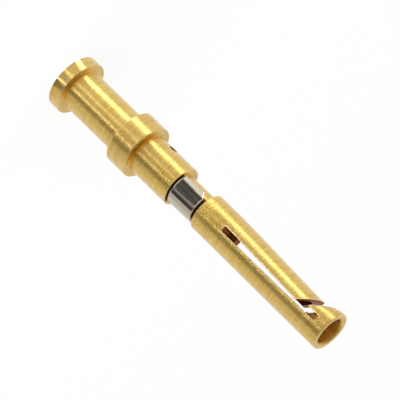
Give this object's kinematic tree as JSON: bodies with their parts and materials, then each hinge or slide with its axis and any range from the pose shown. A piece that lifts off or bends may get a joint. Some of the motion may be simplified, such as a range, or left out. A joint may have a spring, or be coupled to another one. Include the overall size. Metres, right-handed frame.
{
  "type": "crimp socket contact",
  "caption": "Turned gold-plated crimp contact with wire barrel, collar, steel clip and slotted socket with a spring finger and closed front ring.",
  "frame": {"origin": "centre of the flat wire-end face, where the contact stands", "axes": "+Z along the contact from the wire end to the mouth of the socket, -X through the spring finger, -Y towards the side that the slot was sawn from"},
  "size_m": [0.0042, 0.0042, 0.0261],
  "materials": {
    "gold_plate": "gold-plated turned copper alloy with fine turning marks",
    "spring_steel": "bright rolled stainless strip"
  },
  "bodies": {
    "root": {"contact_body": "gold_plate", "retention_clip": "spring_steel"}
  },
  "joints": []
}
